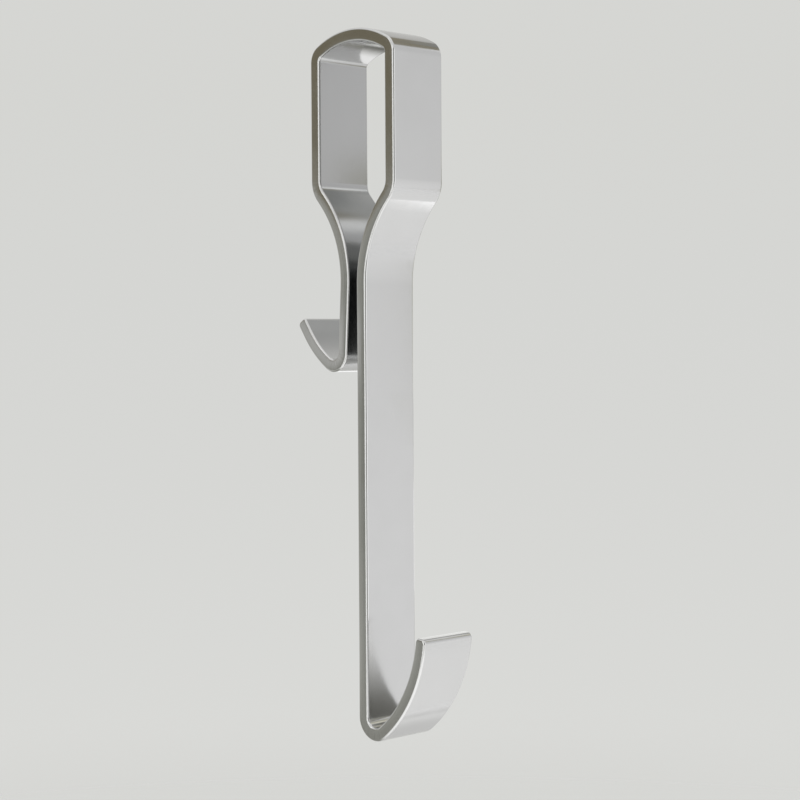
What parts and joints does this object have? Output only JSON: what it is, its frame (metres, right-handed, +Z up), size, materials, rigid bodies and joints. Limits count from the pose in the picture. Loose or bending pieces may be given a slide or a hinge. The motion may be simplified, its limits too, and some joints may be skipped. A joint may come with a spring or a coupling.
{
  "type": "shower screen hook",
  "caption": "Flat bar bent into a saddle over a shower screen's top rail, with a long shank and a big hook in front and a short shank and a small hook behind the glass.",
  "frame": {"origin": "the rail seat: the middle of the underside of the arched bridge", "axes": "+Z up, +X along the rail, -Y to the front, where the big hook is"},
  "size_m": [0.02, 0.0519, 0.2064],
  "materials": {
    "chrome": "polished chrome plate with faint drawing marks along the edges"
  },
  "bodies": {
    "root": {"hook_bar": "chrome"}
  },
  "joints": []
}
